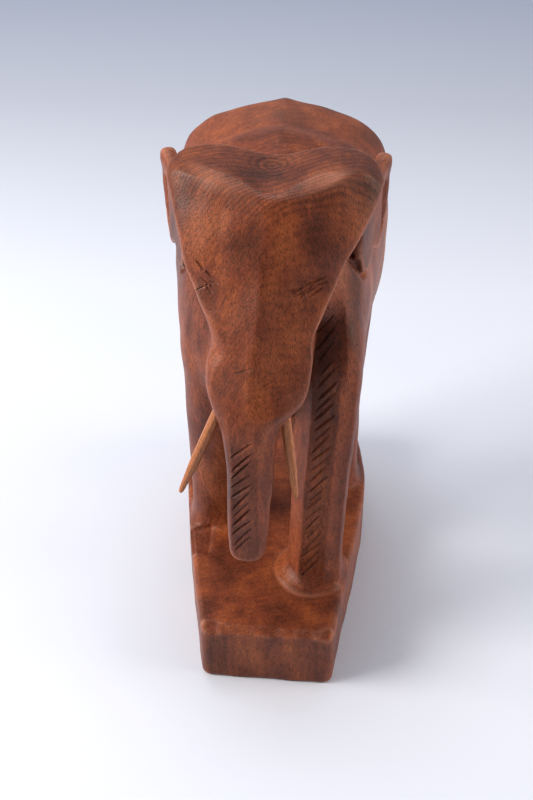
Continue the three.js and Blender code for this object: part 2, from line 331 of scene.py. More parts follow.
# name, place, width, watts and colour of each soft light, and what they all face
LIGHTS = [
    ("Left window", (-570, -140, 390), 400, 6.4, "#fff1e6"),
    ("Right window", (580, -60, 250), 440, 2.5, "#ffe9d8"),
    ("Ceiling window", (-60, 170, 720), 320, 2, "#faf6f4"),
]
LIGHT_AIM = (0, 0, 80)

CAMERA_SPOT = (12.8, -271.3, 271.2)
CAMERA_TILT = 52
CAMERA_TURN = 3.2
LENS = 54
SENSOR_HEIGHT = 36
FLOOR_REACH = 3000


def to_linear(code):
    """Linear red, green and blue of an sRGB hex colour: c/12.92 up to 0.04045, else ((c+0.055)/1.055)^2.4."""
    parts = [int(code[i : i + 2], 16) / 255 for i in (1, 3, 5)]
    return tuple(c / 12.92 if c <= 0.04045 else ((c + 0.055) / 1.055) ** 2.4 for c in parts)


def along(rows, places):
    """A table's values at places between its rows, one row out for each place. Each column is a cubic
    whose slope at a row is the harmonic mean of the slopes beside it, or 0 at a peak."""
    table = np.asarray(rows, float)
    places = np.asarray(places, float)
    gap = np.diff(table[:, 0])[:, None]
    rise = np.diff(table, axis=0)
    secant = rise / gap
    agree = secant[:-1] * secant[1:]
    both = np.where(agree > 0, secant[:-1] + secant[1:], 1)
    slope = np.vstack([secant[:1], np.where(agree > 0, 2 * agree / both, 0), secant[-1:]])
    k = np.clip(np.searchsorted(table[:, 0], places, side="right") - 1, 0, len(gap) - 1)
    span = gap[k]
    t = np.clip((places - table[k, 0])[:, None] / span, 0, 1)
    start, end = slope[k] * span, slope[k + 1] * span
    curve = t * (start + t * (3 * rise[k] - 2 * start - end + t * (start + end - 2 * rise[k])))
    return table[k] + curve


def columns(rows, places):
    """The columns of along(rows, places), each as a column vector that spreads over the angles of a ring."""
    return along(rows, places).T[:, :, None]


def rounded(sides, power):
    """Cosine and sine round a full turn, each raised to 2/power with its sign kept: a circle at 2, squarer
    above."""
    turn = np.arange(sides) * TURN / sides
    c, s = np.cos(turn), np.sin(turn)
    return np.sign(c) * np.abs(c) ** (2 / power), np.sign(s) * np.abs(s) ** (2 / power)


def stack(x, back, z):
    """Points from arrays of across, back and height whose shapes spread together: the middle of the base's
    length is Y 0."""
    x, back, z = np.broadcast_arrays(x, back - BASE_LENGTH / 2, z)
    return np.stack([x, back, z], axis=-1)


def unstacked(points):
    """Across, back and height of a list of points: the reverse of stack."""
    return points[:, 0], points[:, 1] + BASE_LENGTH / 2, points[:, 2]


def skin(rings, caps=6):
    """A closed triangle mesh over rings of points: neighbours are joined in quads split in two, and each end
    is filled by the end ring shrunk in equal steps on to a pole at its middle. Its faces are turned if the
    volume under them, the sum of their corners' triple products, is negative."""
    first, last = rings[0].mean(axis=0), rings[-1].mean(axis=0)
    shrink = np.arange(1, caps)[:, None, None] / caps
    start = first + (rings[0] - first) * shrink
    end = last + (rings[-1] - last) * shrink[::-1]
    rings = np.concatenate([start, rings, end])
    count, sides = rings.shape[:2]
    index = np.arange(count * sides).reshape(count, sides)
    a, b = index[:-1], index[1:]
    c, d = np.roll(a, -1, axis=1), np.roll(b, -1, axis=1)
    pole = np.full(sides, count * sides)
    foot, head = index[0], index[-1]
    faces = [(a, c, d), (a, d, b), (pole, np.roll(foot, -1), foot), (pole + 1, head, np.roll(head, -1))]
    faces = np.concatenate([np.stack(corners, -1).reshape(-1, 3) for corners in faces])
    points = np.concatenate([rings.reshape(-1, 3), [first, last]])
    a, b, c = (points[faces[:, k]] for k in range(3))
    volume = np.sum(np.cross(a, b) * c)
    return points, faces if volume > 0 else faces[:, ::-1]


def base_block():
    """Level outlines of one plan, drawn in at both arrises. Each outline goes up one side and down the other,
    and its corners are quarter circles. The front is moved forward and slanted by amounts that fade in
    proportion to the distance from it."""
    bend = np.linspace(0, TURN / 4, 14)
    run = np.linspace(BASE_CORNER, BASE_LENGTH - BASE_CORNER, 60)
    short, drawn = BASE_CORNER * (1 - np.sin(bend)), BASE_CORNER * (1 - np.cos(bend))
    back = np.concatenate([short[::-1], run, BASE_LENGTH - short])
    drawn = np.concatenate([drawn[::-1], 0 * run, drawn])
    plan = along(BASE_PLAN, back)
    middle = BASE_LENGTH / 2
    fade = 1 - back / BASE_LENGTH
    rings = []
    for inset, height in BASE_LEVELS:
        depth = middle + (back - middle) * (1 - inset / middle) - BASE_FORWARD * fade
        left = stack(plan[:, 1] - drawn - inset, depth, height)
        right = stack(-(plan[:, 2] - drawn - inset), depth + BASE_SLANT * fade, height)
        rings.append(np.concatenate([left, right[::-1]]))
    return skin(np.array(rings), caps=30)


def body():
    """Upright rings along the spine. Each is a rounded square whose upper half falls away from the spine
    by slope times half width times the share across times the root of the share up. The rump is moved
    sideways by a smooth step along the spine."""
    places = np.linspace(BODY[0][0], BODY[-1][0], 120)
    _, top, widest, bottom, half, power = columns(BODY, places)
    across, up = rounded(160, power)
    fall = np.where(up > 0, BACK_SLOPE * half * np.abs(across) * np.sqrt(np.abs(up)), 0)
    height = widest + up * np.where(up > 0, top - widest, widest - bottom) - fall
    back = places[:, None]
    return skin(stack(half * across + BODY_LEAN * step(back, *BODY_LEAN_RUN), back, height))


def crown_at(x, back):
    """Height of the crown: a bell-shaped dip in the middle, and falls by a factor times the square of the
    distance from a line across it and past two lines on either side."""
    dip = CROWN_DIP * np.exp(-((x / CROWN_DIP_WIDTH) ** 2))
    side = CROWN_SIDE_FALL * np.maximum(0, np.abs(x) - CROWN_ACROSS) ** 2
    side += CROWN_CORNER_FALL * np.maximum(0, np.abs(x) - CROWN_CORNER) ** 2
    return CROWN_HEIGHT - dip - CROWN_FALL * (back - CROWN_BACK) ** 2 - side


def head_and_trunk():
    """Level rings from the trunk's tip to above the crown: a wedge-shaped face in front of the widest line
    and a squarer nape behind it. Every point above the crown is brought down on to it."""
    heights = np.linspace(HEAD[0][0], HEAD[-1][0], 220)
    height, front, rear, half, middle, power = columns(HEAD, heights)
    face_depth = FACE_DEPTH + BROW_DEPTH * step(height, *BROW_RISE)
    widest = front + np.minimum(WIDEST_SHARE * (rear - front), face_depth)
    turn = np.arange(200) * TURN / 200
    power = np.where(np.sin(turn) < 0, power, NAPE_SQUARENESS)
    across, depth = rounded(200, power)
    back = widest + depth * np.where(depth < 0, widest - front, rear - widest)
    points, faces = skin(stack(middle + half * across, back, height), caps=40)
    crown = crown_at(points[:, 0], points[:, 1] + BASE_LENGTH / 2)
    points[:, 2] = np.minimum(points[:, 2], crown)
    return points, faces


def leg(rows):
    """Level rings, each a rounded square, from inside the base to inside the body."""
    heights = np.linspace(rows[0][0], rows[-1][0], 110)
    height, middle, back, half, length = columns(rows, heights)
    across, depth = rounded(90, LEG_SQUARENESS)
    return skin(stack(middle + half * across, back + length * depth, height))


def tail():
    """Level rings down the middle of the rump, each an ellipse set half into it."""
    height, back, half = columns(TAIL, np.linspace(TAIL[0][0], TAIL[-1][0], 60))
    across, depth = rounded(40, 2)
    return skin(stack(half * across, back + TAIL_DEPTH * (depth - 1) / 2, height))


def ear(hand):
    """Upright rings along the ear's run, each a flat rounded bar between its lower and upper edge,
    which swells into a folded rim along the top, a little outwards and more towards the head."""
    share, lower, upper, thick = columns(EAR, np.linspace(0, 1, 90))
    up, out = rounded(120, 4)
    level = (lower + upper) / 2 + up * (upper - lower) / 2
    fold = np.where(out > 0, EAR_FOLD[0], EAR_FOLD[1]) * step(level, upper - 0.2, upper - 0.08)
    run = np.subtract(EAR_REAR, EAR_FRONT)
    outwards = np.array([run[1], -run[0]]) / np.hypot(*run)
    x = EAR_FRONT[0] + share * run[0] + (thick + fold) * out * outwards[0]
    back = EAR_FRONT[1] + share * run[1] + (thick + fold) * out * outwards[1]
    return skin(stack(hand * x, back, EAR_FOOT + EAR_HEIGHT * level))


def joined(shapes):
    """Several closed meshes as one list of points and one of faces."""
    starts = np.cumsum([0] + [len(points) for points, _ in shapes])
    return (
        np.concatenate([points for points, _ in shapes]),
        np.concatenate([faces + start for (_, faces), start in zip(shapes, starts)]),
    )


def new_piece(name, points, faces):
    """An object at the origin whose mesh has these points, in the units given, and triangles."""
    mesh = bpy.data.meshes.new(name)
    mesh.from_pydata(points.tolist(), [], faces.tolist())
    made = bpy.data.objects.new(name, mesh)
    bpy.context.scene.collection.objects.link(made)
    return made


def finished_mesh(piece):
    """A new mesh with the piece's modifiers applied."""
    bpy.context.view_layer.update()
    graph = bpy.context.evaluated_depsgraph_get()
    return bpy.data.meshes.new_from_object(piece.evaluated_get(graph))


def apply_modifiers(piece):
    """The piece keeps the mesh that its modifiers make, and loses the modifiers."""
    old, piece.data = piece.data, finished_mesh(piece)
    piece.modifiers.clear()
    bpy.data.meshes.remove(old)


def read_mesh(mesh):
    """Points, edges and triangles of a mesh as arrays."""
    points = np.empty(len(mesh.vertices) * 3)
    mesh.vertices.foreach_get("co", points)
    edges = np.empty(len(mesh.edges) * 2, np.int64)
    mesh.edges.foreach_get("vertices", edges)
    mesh.calc_loop_triangles()
    triangles = np.empty(len(mesh.loop_triangles) * 3, np.int64)
    mesh.loop_triangles.foreach_get("vertices", triangles)
    return points.reshape(-1, 3), edges.reshape(-1, 2), triangles.reshape(-1, 3)


def copies_of(rows):
    """How often each row of numbers is there, in whatever order the row gives them."""
    _, group, copies = np.unique(np.sort(rows, axis=1), axis=0, return_inverse=True, return_counts=True)
    return copies[group.ravel()]


def drop_strays(mesh):
    """The mesh keeps the triangles whose three corners no other triangle has, and whose three sides others
    share."""
    points, _, triangles = read_mesh(mesh)
    triangles = triangles[copies_of(triangles) == 1]
    shared = copies_of(triangles[:, [[0, 1], [1, 2], [2, 0]]].reshape(-1, 2))
    triangles = triangles[(shared.reshape(-1, 3) > 1).all(axis=1)]
    used, corners = np.unique(triangles, return_inverse=True)
    mesh.clear_geometry()
    mesh.from_pydata(points[used].tolist(), [], corners.reshape(-1, 3).tolist())


def write_points(mesh, points):
    """The mesh's points moved to these places."""
    mesh.vertices.foreach_set("co", points.ravel())
    mesh.update()


def spread(index, values, count):
    """The sum, at each of count places, of the rows of values that index sends there."""
    return np.stack([np.bincount(index, values[:, k], count) for k in range(3)], axis=1)


def normals_of(points, triangles):
    """Unit normal at each point: the sum of its triangles' area vectors, divided by its length."""
    a, b, c = (points[triangles[:, k]] for k in range(3))
    area = np.cross(b - a, c - a)
    total = sum(spread(triangles[:, k], area, len(points)) for k in range(3))
    return total / np.maximum(np.linalg.norm(total, axis=1, keepdims=True), 1e-12)


def pull_of(points, edges):
    """From each point to the mean of its neighbours."""
    count = np.bincount(edges.ravel(), minlength=len(points))[:, None]
    total = spread(edges[:, 0], points[edges[:, 1]], len(points))
    total += spread(edges[:, 1], points[edges[:, 0]], len(points))
    return total / np.maximum(count, 1) - points


def relaxed(points, edges, rounds, share):
    """Points moved by share of the way to the mean of their neighbours, as often as rounds says."""
    for _ in range(rounds):
        points = points + share * pull_of(points, edges)
    return points


def filled_creases(points, edges, triangles, rounds, share):
    """Hollow corners filled to a fillet: a point moves by its share along its normal towards the mean of its
    neighbours, but only outwards, so that ridges and flat faces stay."""
    for turn in range(rounds):
        if turn % 6 == 0:
            normals = normals_of(points, triangles)
        lift = np.sum(pull_of(points, edges) * normals, axis=1)
        points = points + (share * np.maximum(lift, 0))[:, None] * normals
    return points


def bell(distance, width):
    """1 at no distance, falling as a bell curve to 0.37 at width."""
    return np.exp(-((distance / width) ** 2))


def step(value, start, end):
    """0 up to start, 1 from end, and a smooth cubic between."""
    t = np.clip((value - start) / (end - start), 0, 1)
    return t * t * (3 - 2 * t)


def planed(points, inside, spot, normal):
    """Points beyond a plane through spot brought back on to it, by the share that inside gives."""
    normal = np.asarray(normal, float) / np.linalg.norm(normal)
    beyond = np.maximum(0, np.sum((points - spot) * normal, axis=1))
    return points - (inside * beyond)[:, None] * normal


def ear_place(points):
    """Each point's share of the ear's run, its height above the ear's lower edge, and how far it stands
    outside the ear's middle sheet, both in mm."""
    x, back, height = unstacked(points)
    share = (back - EAR_FRONT[1]) / (EAR_REAR[1] - EAR_FRONT[1])
    above = height - EAR_FOOT - EAR_HEIGHT * along(EAR, share)[:, 1]
    side = EAR_FRONT[0] + share * (EAR_REAR[0] - EAR_FRONT[0])
    return share, above, np.abs(x) - side


def near_ear(points):
    """1 on both ears, and a smooth step down to 0 past their ends, below them and inside them."""
    share, above, proud = ear_place(points)
    return step(share, -0.2, 0) * (1 - step(share, 1.05, 1.2)) * step(above, -4, -2) * step(proud, -6, -3)


def worn_arris(points):
    """The front top edge of the base worn off at about 45 degrees. The depth is a sum of sines along it, with
    a smooth step towards the elephant's right and a bell near its left end."""
    x = points[:, 0]
    depth = ARRIS_DEPTH + 0.16 * np.sin(x / 3.1 + 1) + 0.12 * np.sin(x / 1.3 + 0.7 * np.sin(x / 2.9))
    depth += 0.5 * step(-x, 2, 15)
    depth += 0.06 * np.sin(x / 0.47 + 1.4 * np.sin(x / 1.7)) + 0.6 * bell(x - 17.5, 1.6)
    slant = BASE_SLANT * step(-x, -20, 20) - BASE_FORWARD
    edge = stack(x, slant + 0 * x, BASE_HEIGHT + 0 * x)
    normal = np.array(ARRIS_NORMAL)
    near = (np.abs(points[:, 2] - BASE_HEIGHT + 2) < 4) & (points[:, 1] < 8)
    return planed(points, near, edge - depth[:, None] * normal, normal)


def near_nape(points):
    """1 along the step down from the crown to the neck, falling as a bell curve over 7 mm."""
    _, back, height = unstacked(points)
    return bell(back - NAPE_BACK, 7) * step(height, 128, 132)


def near_brow(points):
    """1 at the brow's edge, falling as a bell curve over 2.5 mm."""
    x, back, height = unstacked(points)
    row = along(BROW, x)
    return bell(np.hypot(back - row[:, 1], height - row[:, 2]), 2.5)


def near_corner(points):
    """1 at the two outer corners of the brow, falling as a bell curve over 5 mm."""
    x, back, height = unstacked(points)
    away = np.hypot(np.abs(x - HEAD_MIDDLE) - BROW_CORNER[0], back - BROW_CORNER[1])
    return bell(np.hypot(away, height - BROW_CORNER[2]), 5)


def trunk_ridge(height):
    """The ridge between the trunk's two facets, a little behind the loft's own front."""
    return stack(TRUNK_RIDGE[0] + 0 * height, along(HEAD, height)[:, 1] + TRUNK_RIDGE[1], height)


def leg_ridge(height):
    """The ridge between the forward foreleg's front facet and its outer side."""
    row = along(LEFT_FORELEG, height)
    return stack(row[:, 1] + LEG_RIDGE[0] * row[:, 3], row[:, 2] + LEG_RIDGE[1] * row[:, 4], height)


def facets(points):
    """Flat knife facets: two down the trunk that meet in a ridge, one down the forward foreleg's front,
    the two planes of the face, and the bevels along the brow."""
    x, height = points[:, 0], points[:, 2]
    ridge = trunk_ridge(height)
    on_trunk = step(height, 44, 47) * (1 - step(height, 80, 92)) * (points[:, 1] < ridge[:, 1] + 6)
    for normal in TRUNK_FACETS:
        points = planed(points, on_trunk, ridge, normal)
    ridge = leg_ridge(height)
    on_leg = step(height, 20, 24) * (1 - step(height, 102, 112)) * (np.abs(x - ridge[:, 0] + 4) < 13)
    on_leg = on_leg * (np.abs(points[:, 1] - ridge[:, 1]) < 6)
    inner = ridge + np.array([-LEG_FACET, LEG_TURN * LEG_FACET, 0])
    points = planed(points, on_leg, ridge, LEG_FRONT)
    on_sides = on_leg * (1 - step(height, 84, 96))
    points = planed(points, on_sides, ridge, LEG_OUTER)
    points = planed(points, on_sides, inner, LEG_INNER)
    row = along(FACE_RIDGE, height)
    ridge = stack(row[:, 1], row[:, 2], height)
    on_face = step(height, 88, 100) * (points[:, 1] < ridge[:, 1] + 12) * (1 - step(height, 137, 139))
    on_face = on_face * (1 - 0.75 * step(height, 112, 130))
    for normal in FACE_FACETS:
        points = planed(points, on_face, ridge, normal)
    row = along(BROW, points[:, 0])
    edge = stack(row[:, 0], row[:, 1], row[:, 2])
    on_brow = (points[:, 2] > 128) * (points[:, 1] < edge[:, 1] + 6) * 1.0
    left = on_brow * step(-points[:, 0], -2, 0)
    right = on_brow * step(points[:, 0], 0, 2)
    wide = 0.15 + 0.85 * bell(np.abs(points[:, 0]) - 11, 6.5)[:, None]
    for share, normal in zip((left, right), np.array(BROW_FACETS)):
        points = planed(points, share, edge - normal * wide, normal)
    return points


def foot_line(points):
    """How far outside the ellipse scored round the forward foot each point is, as a share of the ellipse's
    size, and the angle at which it lies."""
    x, back, _ = unstacked(points)
    across, behind = x - FOOT_LINE[0], back - FOOT_LINE[1]
    return np.hypot(across / FOOT_LINE[2], behind / FOOT_LINE[3]) - 1, np.arctan2(behind, across)


def hollow(points):
    """Depth taken off along the normal, in mm, for the small carving: the ring in the crown's dip, the groove
    inside the rim of each ear and the one under its lobes, the withers' edge, the line round the forward foot
    and the step in the base. Each is a bell curve across its line, cut to its place by smooth steps."""
    x, back, height = unstacked(points)
    ring = np.hypot(x - KNOT[0], (back - KNOT[1]) * 1.15)
    depth = (0.14 * bell(ring - 3.3, 0.7) + 0.2 * bell(ring, 1.6)) * (height > 134)
    share, above, proud = ear_place(points)
    level = (height - EAR_FOOT) / EAR_HEIGHT
    on_ear = step(proud, 0, 0.5) * step(above, 2, 5)
    depth += 0.8 * bell(share - 0.8, 0.05) * on_ear * (1 - step(level, 0.72, 0.8))
    beside = step(share, 0.02, 0.1) * (1 - step(share, 1, 1.1)) * step(proud, -6, -4)
    depth += 1.2 * bell(above + 0.5, 0.9) * beside
    withers = back - 69.5 + 0.003 * x**2
    on_back = (height > 124) * (1 - step(np.abs(x), 16, 22))
    depth -= 0.3 * bell(withers, 0.7) * on_back
    depth += 0.6 * bell(withers - 4, 3) * on_back
    outside, _ = foot_line(points)
    depth += 0.3 * bell(outside * 10, 0.6) * (np.abs(height - BASE_HEIGHT) < 2)
    notch = step(-x, 17.4, 18.2) * step(back, 28, 29) * (1 - step(back, 38.2, 39))
    depth += 0.9 * notch * (np.abs(height - BASE_HEIGHT) < 1.5)
    return depth


def tool_marks(points):
    """Low waves left by the knife, in mm: the sum of two products of sines 10 to 15 mm long, each bent by a
    slower sine."""
    x, y, z = points.T
    wave = np.sin(x / 1.6 + 1.3 * np.sin(z / 5.1)) * np.sin(y / 2.1 + 1.1 * np.sin(x / 4.3) + 0.4)
    wave += np.sin(z / 1.9 + 1.7 * np.sin(y / 4.7)) * np.sin(x / 2.3 + 0.8)
    return 0.07 * wave


def wedge(length, depth, width, middle, rise, facing):
    """What one stroke of the knife takes out: a diamond section carried along a straight line, full over the
    middle and pointed at both ends, turned by rise about Y and then by facing about Z."""
    share = np.array([-1, -0.7, -0.3, 0.3, 0.7, 1])[:, None]
    full = np.array([0.05, 0.75, 1, 1, 0.75, 0.05])[:, None]
    turn = np.arange(4) * TURN / 4
    x, y, z = share * length / 2, -full * depth * np.cos(turn), full * width / 2 * np.sin(turn)
    rings = np.stack(np.broadcast_arrays(x, y, z), -1)
    c, s = math.cos(rise), math.sin(rise)
    rings = rings @ np.array([(c, 0, s), (0, 1, 0), (-s, 0, c)])
    c, s = math.cos(facing), math.sin(facing)
    rings = rings @ np.array([(c, s, 0), (-s, c, 0), (0, 0, 1)])
    return skin(rings + middle, caps=1)


def front_at(points, x, height):
    """The mean of the front surface's points within 0.7 mm of this place across and height."""
    near = points[np.hypot(points[:, 0] - x, points[:, 2] - height) < 0.7]
    return near[near[:, 1] < near[:, 1].min() + 2].mean(axis=0)


def stroke(points, start, end, depth, width):
    """One stroke laid on the surface between two places across and height: it runs through the foremost
    points a quarter of the way in from either end."""
    start, end = np.array(start), np.array(end)
    first, last = (front_at(points, *(start + share * (end - start))) for share in (0.25, 0.75))
    x, y, z = last - first
    flat = math.hypot(x, y)
    rise, facing = math.atan2(z, flat), math.atan2(y, x)
    return wedge(2 * math.hypot(flat, z), depth, width, (first + last) / 2, rise, facing)


def knife_cuts(points, sizes):
    """Every straight knife cut: the rows on the trunk and the forward foreleg, and the lines of the eyes."""
    chance = np.random.default_rng(7)
    cuts = []
    for row, ridge in ((TRUNK_CUTS, trunk_ridge), (LEG_CUTS, leg_ridge)):
        depth, width = sizes.cut_depth / MM * row["strength"], sizes.cut_width / MM
        heights = np.linspace(row["lowest"], row["highest"], row["count"])
        for height, spot in zip(heights, ridge(heights)):
            middle = np.array([spot[0] + row["inwards"], height]) + chance.uniform(-0.3, 0.3, 2)
            rise = row["rise"] + chance.uniform(-0.1, 0.1)
            reach = row["length"] * chance.uniform(0.42, 0.52) * np.array([math.cos(rise), math.sin(rise)])
            deep = depth * chance.uniform(0.7, 1.15)
            cuts.append(stroke(points, middle - reach, middle + reach, deep, width))
    cuts += [stroke(points, *line) for line in STROKES]
    return joined(cuts)


def wear_and_highlight_of(points, edges, triangles):
    """How far the wood is made paler, 0 to 1, by rubbed wear and by painted highlights. On edges it is the
    outward
    bend: how far a point stands out from its neighbours over the square of their distance, relaxed and put
    through a smooth step, which is partly wear and partly a painted highlight along the rims. It is less at
    the feet. A painted highlight rings the line scored round the forward foot, the brow's bevels get a
    painted highlight all over and the rump a painted sheen."""
    stands_out = -np.sum(pull_of(points, edges) * normals_of(points, triangles), axis=1)
    size = np.linalg.norm(points[edges[:, 0]] - points[edges[:, 1]], axis=1)
    reach = np.bincount(edges[:, 0], size, len(points)) + np.bincount(edges[:, 1], size, len(points))
    reach /= np.maximum(np.bincount(edges.ravel(), minlength=len(points)), 1)
    bend = np.repeat((stands_out / np.maximum(reach, 0.05) ** 2)[:, None], 3, axis=1)
    bend = relaxed(np.clip(bend, -2, 2), edges, 4, 0.6)[:, 0]
    x, back, height = unstacked(points)
    low = (height > BASE_HEIGHT + 0.5) * (1 - step(height, 28, 34))
    # Painted highlight on the lip of the line round the forward foot
    outside, turn = foot_line(points)
    ring = bell((outside + 0.03 * np.sin(4 * turn)) * 10, 0.6) * (np.abs(height - BASE_HEIGHT) < 1)
    ring *= 0.6 + 0.4 * np.sin(3 * turn + 1.5)
    # Painted highlight on the brow's bevels
    brow = 0.75 * near_brow(points) * bell(np.abs(x) - 13, 6)
    # Painted sheen on the rump
    rump = 0.2 * step(back, 62, 80) * step(height, 118, 130)
    # Wear and a painted highlight along the edges
    worn_and_lit_edges = step(bend, 0.04, 0.3) * (1 - 0.75 * low)
    return np.max([worn_and_lit_edges, 0.7 * ring, brow, rump], axis=0)


def stain_and_shade_of(points):
    """How much darker the wood is made, 0 to 1. The two cut facets and the wood round the knot in the crown's
    dip get a darker tone, and the crown is darker in front of the nape, more towards +X. Painted shade goes
    in the hollow at the forward foot, inside the ears and over the base's front, and a painted shadow of the
    trunk and foreleg lies on the base's top. Each place is a product of smooth steps or a bell, and the
    places are added."""
    x, back, height = unstacked(points)
    ridge = trunk_ridge(height)
    trunk = step(height, 46, 50) * (1 - step(height, 78, 86)) * (1 - step(x - ridge[:, 0], -0.6, 0.3))
    trunk *= points[:, 1] < ridge[:, 1] + 3
    ridge = leg_ridge(height)
    beside = x - ridge[:, 0]
    leg = step(height, 20, 23) * (1 - step(height, 100, 110)) * (1 - step(beside, -0.6, 0.3))
    leg *= step(beside, -LEG_FACET - 0.6, -LEG_FACET + 0.2) * (np.abs(points[:, 1] - ridge[:, 1]) < 4)
    # Painted shade in the hollow at the forward foot
    foot = bell(np.hypot(x - 12.5, back - 15.2), 2.4) * (height < 30)
    dip = bell(np.hypot(x - KNOT[0], back - KNOT[1] - 1), 5) * (height > 130)
    # Painted shadow of the trunk and foreleg on the base's top
    top = step(x, -6, 6) * (np.abs(height - BASE_HEIGHT) < 0.8) * (1 - step(back, 16, 24))
    # Painted shade on the base's front, which faces away from the lights
    front = (back < 4) * (1 - step(height, 16, 18)) * 1.0
    crown = step(height, 136, 139) * (1 - step(back, 44, 48)) * (0.25 + 0.4 * step(x, 2, 8))
    # Painted shade inside the front of the ears
    share, above, proud = ear_place(points)
    ears = step(share, -0.25, -0.1) * (1 - step(share, 0.4, 0.6))
    ears = ears * step(above, -1, 1) * step(proud, -2, -0.5)
    total = 0.75 * trunk + leg + foot + 0.5 * dip + 0.7 * top + 0.35 * front + crown + 0.9 * ears
    return np.clip(total, 0, 1)


def build_carving(sizes):
    """The whole carving: closed forms melted into one skin, creases filled, facets planed, small hollows
    sunk, and knife cuts taken out."""
    shapes = [base_block(), body(), head_and_trunk(), tail(), ear(1), ear(-1), *map(leg, LEGS)]
    carving = new_piece("carving", *joined(shapes))
    melt = carving.modifiers.new("One skin", "REMESH")
    melt.mode = "VOXEL"
    melt.voxel_size = sizes.grain_of_mesh / MM
    apply_modifiers(carving)
    points, edges, triangles = read_mesh(carving.data)
    points = relaxed(points, edges, 3, 0.15 + 0.4 * step(points[:, 2], 19, 22)[:, None])
    share = 0.6 * (1 - 0.9 * near_ear(points)) * (1 - 0.8 * near_nape(points))
    points = filled_creases(points, edges, triangles, 60, share)
    points = worn_arris(facets(points))
    points = relaxed(points, edges, 1, 0.3)
    points = relaxed(points, edges, 7, 0.5 * near_brow(points)[:, None])
    points = relaxed(points, edges, 24, 0.6 * near_corner(points)[:, None])
    depth = hollow(points) + tool_marks(points)
    points = points - depth[:, None] * normals_of(points, triangles)
    points[:, 2] = np.maximum(points[:, 2], 0)
    write_points(carving.data, points)
    knives = new_piece("knives", *knife_cuts(points, sizes))
    cut = carving.modifiers.new("Knife cuts", "BOOLEAN")
    cut.object = knives
    cut.operation = "DIFFERENCE"
    cut.solver = "MANIFOLD"
    apply_modifiers(carving)
    bpy.data.objects.remove(knives)
    thin = carving.modifiers.new("Fewer faces", "DECIMATE")
    thin.ratio = min(1, sizes.most_faces / len(read_mesh(carving.data)[2]))
    apply_modifiers(carving)
    drop_strays(carving.data)
    points, edges, triangles = read_mesh(carving.data)
    # Wear with painted highlights, and darker tone with painted shade, are stored on the points
    for name, values in (("wear_and_highlight", wear_and_highlight_of(points, edges, triangles)), ("stain_and_shade", stain_and_shade_of(points))):
        layer = carving.data.attributes.new(name, "FLOAT", "POINT")
        layer.data.foreach_set("value", values.astype(np.float32))
    write_points(carving.data, points * MM)
    carving.data.shade_smooth()
    carving.data.set_sharp_from_angle(angle=math.radians(40))
    return carving


def tusk(root, tip):
    """A round rod carried along its axis: a straight peg, a slight taper, then a blunt tip. Seven low waves
    round it are the flats that the scraper left."""
    start, end = (stack(*place) for place in (root, tip))
    out = (end - start) / np.linalg.norm(end - start)
    inner = start - out * TUSK_PEG
    length = np.linalg.norm(end - inner)
    share, radius = columns(TUSK_TAPER, np.linspace(0, 1, 80))
    side = np.cross(out, (0, 1, 0))
    side /= np.linalg.norm(side)
    up = np.cross(side, out)
    turn = np.arange(48)[None, :, None] * TURN / 48
    flats = 1 + 0.025 * np.cos(7 * turn)
    rings = inner + share[..., None] * length * out
    rings = rings + radius[..., None] * flats * (np.cos(turn) * side + np.sin(turn) * up)
    return skin(rings, caps=3)


def add(tree, kind, settings=None, **links):
    """A node of this kind in the tree, with settings on its attributes, and links or values on its inputs. An
    input is named, or is i and its number."""
    node = tree.nodes.new(kind)
    for key, value in (settings or {}).items():
        setattr(node, key, value)
    for key, value in links.items():
        socket = node.inputs[int(key[1:])] if key[0] == "i" and key[1:].isdigit() else node.inputs[key]
        if isinstance(value, bpy.types.NodeSocket):
            tree.links.new(value, socket)
        else:
            socket.default_value = value
    return node


def ramp(tree, value, stops):
    """The colour at value between stops of place and colour."""
    node = add(tree, "ShaderNodeValToRGB", i0=value)
    band = node.color_ramp
    while len(band.elements) < len(stops):
        band.elements.new(0.5)
    for element, (place, colour) in zip(band.elements, stops):
        element.position = place
        element.color = (*colour[:3], 1)
    return node.outputs[0]


def faded(tree, strength, pattern, low, high):
    """A pattern from 0 to 1 as a factor from low to high, drawn towards 1 where strength is small."""
    factor = add(tree, "ShaderNodeMapRange", i0=pattern, i1=0.05, i2=0.85, i3=low, i4=high).outputs[0]
    return add(tree, "ShaderNodeMix", {"data_type": "FLOAT"}, i0=strength, i2=1.0, i3=factor).outputs[0]


def new_material(name):
    """A new material, its node tree and its shader."""
    material = bpy.data.materials.new(name)
    material.use_nodes = True
    return material, material.node_tree, material.node_tree.nodes["Principled BSDF"]


